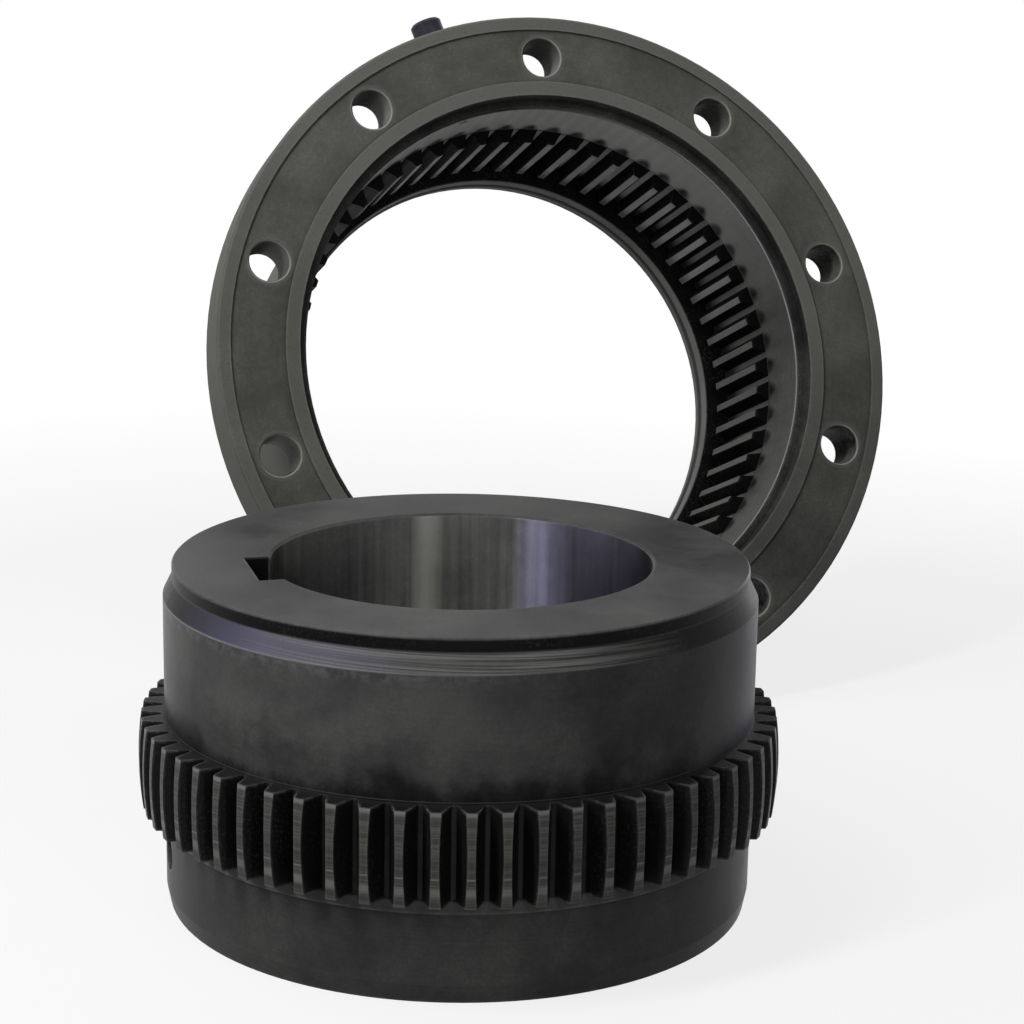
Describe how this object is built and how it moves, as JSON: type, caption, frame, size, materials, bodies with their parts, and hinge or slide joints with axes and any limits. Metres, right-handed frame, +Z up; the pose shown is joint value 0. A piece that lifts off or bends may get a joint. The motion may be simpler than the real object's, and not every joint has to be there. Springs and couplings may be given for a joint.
{
  "type": "gear coupling",
  "caption": "One half of a flanged gear coupling, taken apart: a crowned-tooth hub with keyed bore stands in front of its flanged sleeve.",
  "frame": {"origin": "centre of the hub's bore at the foot it stands on, on the floor", "axes": "+Z up along the hub's bore; +Y towards the sleeve that stands behind the hub, as seen from the camera; +X to the camera's right"},
  "size_m": [0.3417, 0.5639, 0.332],
  "materials": {
    "hub_steel": "black oxide on turned steel, satin, with bright worn edges",
    "sleeve_steel": "black oxide on turned steel, satin, with bright worn edges",
    "seal_rubber": "matt black nitrile rubber",
    "plug_steel": "black oxide on steel screws, satin"
  },
  "bodies": {
    "root": {"hub": "hub_steel", "flanged_sleeve": "sleeve_steel", "seal_ring": "seal_rubber", "lube_plug_1": "plug_steel", "lube_plug_2": "plug_steel"}
  },
  "joints": []
}
